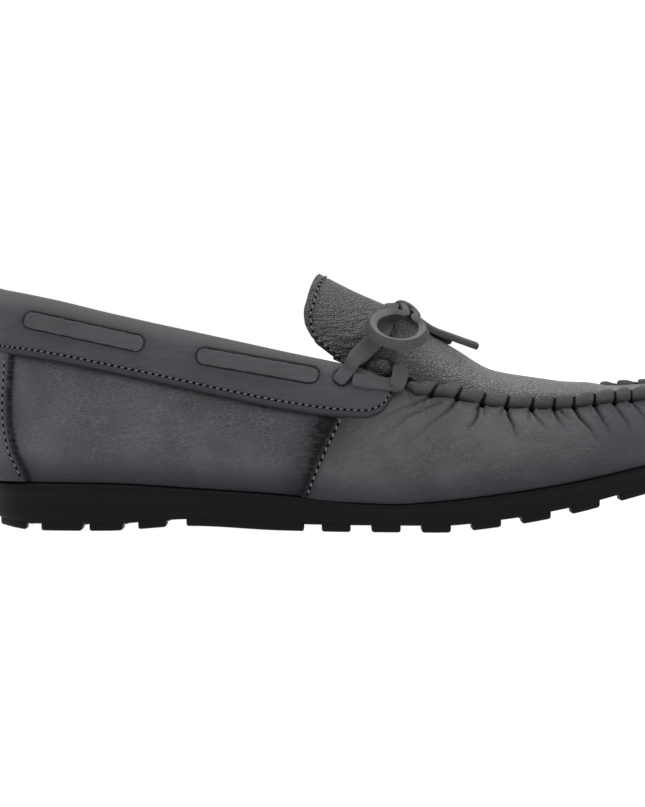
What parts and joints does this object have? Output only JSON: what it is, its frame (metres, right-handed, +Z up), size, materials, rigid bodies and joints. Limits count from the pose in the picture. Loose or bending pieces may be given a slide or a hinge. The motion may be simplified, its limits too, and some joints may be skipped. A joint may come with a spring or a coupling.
{
  "type": "moccasin loafer",
  "caption": "Right-foot leather driving moccasin with a gathered plug seam, laced collar band, small bow over the throat and a lugged rubber sole; slips onto a foot.",
  "frame": {"origin": "centre of the box of the shoe without its bow, on the floor under the sole", "axes": "+X towards the toe, +Z up, -Y the outer side of the foot"},
  "size_m": [0.2976, 0.098, 0.1007],
  "materials": {
    "leather_upper": "pebbled blue-grey leather, burnished dark at the seams",
    "leather_band": "smooth matte blue-grey leather",
    "leather_lace": "matte flat-cut leather lace",
    "rubber_sole": "satin black moulded rubber",
    "lining": "plain matte lining leather"
  },
  "bodies": {
    "root": {"outsole": "rubber_sole", "insole": "lining", "upper": "leather_upper", "tongue": "leather_upper", "collar_band": "leather_band", "back_strap": "leather_upper", "lace_bar_rear_lateral": "leather_lace", "lace_bar_rear_medial": "leather_lace", "lace_bar_front_lateral": "leather_lace", "lace_bar_front_medial": "leather_lace", "seam_thong_lateral": "leather_lace", "seam_thong_medial": "leather_lace", "lace_strand_lateral": "leather_lace", "lace_strand_medial": "leather_lace", "bow_knot": "leather_lace", "bow_loop_lateral": "leather_lace", "bow_loop_medial": "leather_lace", "lace_tail_lateral": "leather_lace", "lace_tail_medial": "leather_lace"}
  },
  "joints": []
}
